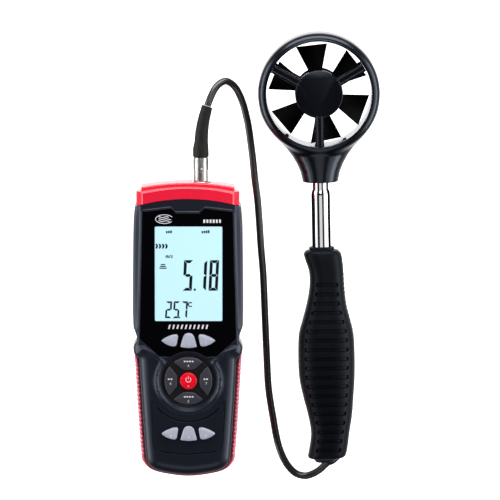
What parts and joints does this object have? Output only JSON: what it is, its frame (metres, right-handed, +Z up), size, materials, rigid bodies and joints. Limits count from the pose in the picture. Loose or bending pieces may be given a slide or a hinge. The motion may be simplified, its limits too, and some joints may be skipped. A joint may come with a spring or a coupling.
{
  "type": "vane anemometer",
  "caption": "Handheld weather meter: display unit with keypad and battery door, corded vane probe with telescopic mast and spinning rotor.",
  "frame": {"origin": "centre of the footprint of the meter and probe lying face up, at the surface they rest on; the cord and what is on it are not counted", "axes": "+Z up out of the meter's front, +Y from the meter's lower end towards its socket end and from the probe's handle towards its ring, +X from the meter towards the probe"},
  "size_m": [0.1695, 0.3106, 0.041],
  "materials": {
    "shell_plastic": "moulded dark slate plastic with a fine satin texture",
    "red_plastic": "smooth red moulded plastic, slightly satin",
    "red_rubber": "soft red overmoulded grip, matte",
    "window_gloss": "polished black window",
    "lcd": "lit pale cyan liquid-crystal display",
    "light_guide": "milky light guide",
    "circuit_board": "green solder mask",
    "silicone": "grey silicone",
    "light_key": "light grey satin keys",
    "dark_key": "dark grey satin keys with a lighter edge",
    "red_key": "red glossy key",
    "satin_nickel": "satin nickel plate, knurled ring",
    "steel": "bright zinc-plated steel",
    "brass": "turned brass",
    "battery_wrap": "printed battery wrap",
    "boot_rubber": "charcoal rubber with a fine mottled texture",
    "cord_rubber": "smooth black cable jacket with a soft sheen",
    "handle_plastic": "near-black navy satin plastic",
    "chrome": "bright chrome-plated tube",
    "head_plastic": "dark navy moulded plastic, semi-gloss",
    "rotor_plastic": "black vane plastic"
  },
  "bodies": {
    "meter": {"rear_shell": "shell_plastic", "front_shell": "shell_plastic", "top_cap": "red_plastic", "grip_bumper": "red_rubber", "display_window": "window_gloss", "lower_panel": "shell_plastic", "probe_socket": "satin_nickel", "shell_screw_1": "steel", "shell_screw_2": "steel", "shell_screw_3": "steel", "shell_screw_4": "steel", "main_board": "circuit_board", "backlight_panel": "light_guide", "lcd_panel": "lcd", "keypad_mat": "silicone", "battery_1": "battery_wrap", "battery_2": "battery_wrap", "battery_3": "battery_wrap", "battery_4": "battery_wrap", "battery_springs": "steel", "battery_contacts": "steel"},
    "battery_door": {"battery_door": "shell_plastic"},
    "key_upper_left": {"key_upper_left": "light_key"},
    "key_upper_middle": {"key_upper_middle": "light_key"},
    "key_upper_right": {"key_upper_right": "light_key"},
    "key_lower_left": {"key_lower_left": "light_key"},
    "key_lower_middle": {"key_lower_middle": "light_key"},
    "key_lower_right": {"key_lower_right": "light_key"},
    "key_round_right": {"key_round_right": "dark_key"},
    "key_round_up": {"key_round_up": "dark_key"},
    "key_round_left": {"key_round_left": "dark_key"},
    "key_round_down": {"key_round_down": "dark_key"},
    "key_power": {"key_power": "red_key"},
    "probe": {"plug_shell": "satin_nickel", "plug_insert": "brass", "plug_boot": "boot_rubber", "cord": "cord_rubber", "cord_gland": "boot_rubber", "handle_front": "handle_plastic", "handle_rear": "handle_plastic", "mast_bush": "boot_rubber", "handle_screw_1": "steel", "handle_screw_2": "steel"},
    "mast": {"mast_outer": "chrome"},
    "head": {"mast_inner": "chrome", "head_housing": "head_plastic", "front_guard": "head_plastic", "rear_guard": "head_plastic", "front_bearing": "brass", "rear_bearing": "brass", "speed_pickup": "circuit_board", "thermistor": "steel"},
    "rotor": {"rotor": "rotor_plastic", "rotor_shaft": "steel"}
  },
  "joints": [
    {"name": "battery_door_slide", "type": "slide", "parent": "meter", "child": "battery_door", "axis": [0, -1, 0], "range_m": [0, 0.06]},
    {"name": "key_upper_left_press", "type": "slide", "parent": "meter", "child": "key_upper_left", "axis": [0, 0, -1], "range_m": [0, 0.001], "stiffness_N_per_m": 600},
    {"name": "key_upper_middle_press", "type": "slide", "parent": "meter", "child": "key_upper_middle", "axis": [0, 0, -1], "range_m": [0, 0.001], "stiffness_N_per_m": 600},
    {"name": "key_upper_right_press", "type": "slide", "parent": "meter", "child": "key_upper_right", "axis": [0, 0, -1], "range_m": [0, 0.001], "stiffness_N_per_m": 600},
    {"name": "key_lower_left_press", "type": "slide", "parent": "meter", "child": "key_lower_left", "axis": [0, 0, -1], "range_m": [0, 0.001], "stiffness_N_per_m": 600},
    {"name": "key_lower_middle_press", "type": "slide", "parent": "meter", "child": "key_lower_middle", "axis": [0, 0, -1], "range_m": [0, 0.001], "stiffness_N_per_m": 600},
    {"name": "key_lower_right_press", "type": "slide", "parent": "meter", "child": "key_lower_right", "axis": [0, 0, -1], "range_m": [0, 0.001], "stiffness_N_per_m": 600},
    {"name": "key_round_right_press", "type": "slide", "parent": "meter", "child": "key_round_right", "axis": [0, 0, -1], "range_m": [0, 0.001], "stiffness_N_per_m": 600},
    {"name": "key_round_up_press", "type": "slide", "parent": "meter", "child": "key_round_up", "axis": [0, 0, -1], "range_m": [0, 0.001], "stiffness_N_per_m": 600},
    {"name": "key_round_left_press", "type": "slide", "parent": "meter", "child": "key_round_left", "axis": [0, 0, -1], "range_m": [0, 0.001], "stiffness_N_per_m": 600},
    {"name": "key_round_down_press", "type": "slide", "parent": "meter", "child": "key_round_down", "axis": [0, 0, -1], "range_m": [0, 0.001], "stiffness_N_per_m": 600},
    {"name": "key_power_press", "type": "slide", "parent": "meter", "child": "key_power", "axis": [0, 0, -1], "range_m": [0, 0.001], "stiffness_N_per_m": 600},
    {"name": "plug_pull", "type": "slide", "parent": "meter", "child": "probe", "axis": [0, 1, 0], "range_m": [0, 0.012]},
    {"name": "mast_lower_slide", "type": "slide", "parent": "probe", "child": "mast", "axis": [-0.0192, 0.9998, 0], "range_m": [-0.035, 0.07]},
    {"name": "mast_upper_slide", "type": "slide", "parent": "mast", "child": "head", "axis": [-0.0192, 0.9998, 0], "range_m": [0, 0.1]},
    {"name": "rotor_spin", "type": "hinge", "parent": "head", "child": "rotor", "pos_m": [0.04313, 0.11045, 0.017], "axis": [0, 0, 1], "continuous": true}
  ]
}
